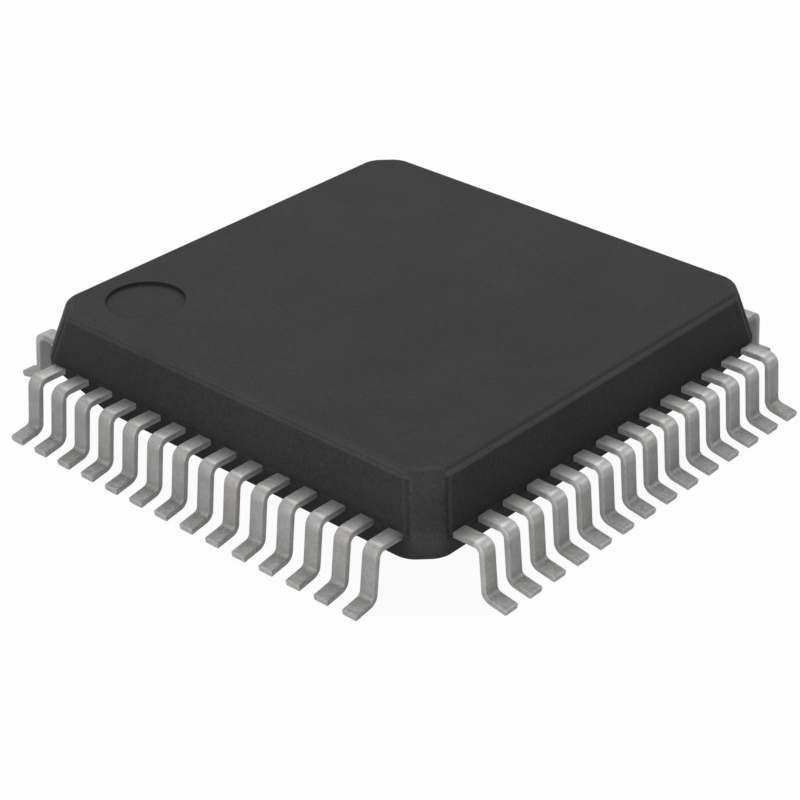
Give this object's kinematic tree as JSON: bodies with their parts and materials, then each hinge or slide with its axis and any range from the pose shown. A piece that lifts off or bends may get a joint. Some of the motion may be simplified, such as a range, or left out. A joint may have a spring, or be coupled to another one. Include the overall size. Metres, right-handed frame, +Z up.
{
  "type": "quad flat pack chip",
  "caption": "Square surface-mount chip package: black moulded body with chamfered corners, a pin 1 dimple and gull-wing leads along all four sides.",
  "frame": {"origin": "on the solder plane, under the centre of the body", "axes": "+Z up out of the top face; X and Y along the sides; the pin 1 dimple is at the corner where X and Y are both negative"},
  "size_m": [0.0122, 0.0122, 0.0022],
  "materials": {
    "moulding_compound": "fine matt black epoxy moulding compound",
    "tin_plate": "matt tin plate over copper alloy, finely mottled",
    "bare_copper_alloy": "rolled copper alloy, silver-spotted where wires land",
    "silicon": "polished silicon",
    "gold_wire": "drawn gold"
  },
  "bodies": {
    "root": {"moulded_body": "moulding_compound", "die_pad": "bare_copper_alloy", "silicon_die": "silicon", "bond_wires": "gold_wire", "lead_01": "tin_plate", "lead_02": "tin_plate", "lead_03": "tin_plate", "lead_04": "tin_plate", "lead_05": "tin_plate", "lead_06": "tin_plate", "lead_07": "tin_plate", "lead_08": "tin_plate", "lead_09": "tin_plate", "lead_10": "tin_plate", "lead_11": "tin_plate", "lead_12": "tin_plate", "lead_13": "tin_plate", "lead_14": "tin_plate", "lead_15": "tin_plate", "lead_16": "tin_plate", "lead_17": "tin_plate", "lead_18": "tin_plate", "lead_19": "tin_plate", "lead_20": "tin_plate", "lead_21": "tin_plate", "lead_22": "tin_plate", "lead_23": "tin_plate", "lead_24": "tin_plate", "lead_25": "tin_plate", "lead_26": "tin_plate", "lead_27": "tin_plate", "lead_28": "tin_plate", "lead_29": "tin_plate", "lead_30": "tin_plate", "lead_31": "tin_plate", "lead_32": "tin_plate", "lead_33": "tin_plate", "lead_34": "tin_plate", "lead_35": "tin_plate", "lead_36": "tin_plate", "lead_37": "tin_plate", "lead_38": "tin_plate", "lead_39": "tin_plate", "lead_40": "tin_plate", "lead_41": "tin_plate", "lead_42": "tin_plate", "lead_43": "tin_plate", "lead_44": "tin_plate", "lead_45": "tin_plate", "lead_46": "tin_plate", "lead_47": "tin_plate", "lead_48": "tin_plate", "lead_49": "tin_plate", "lead_50": "tin_plate", "lead_51": "tin_plate", "lead_52": "tin_plate", "lead_53": "tin_plate", "lead_54": "tin_plate", "lead_55": "tin_plate", "lead_56": "tin_plate"}
  },
  "joints": []
}
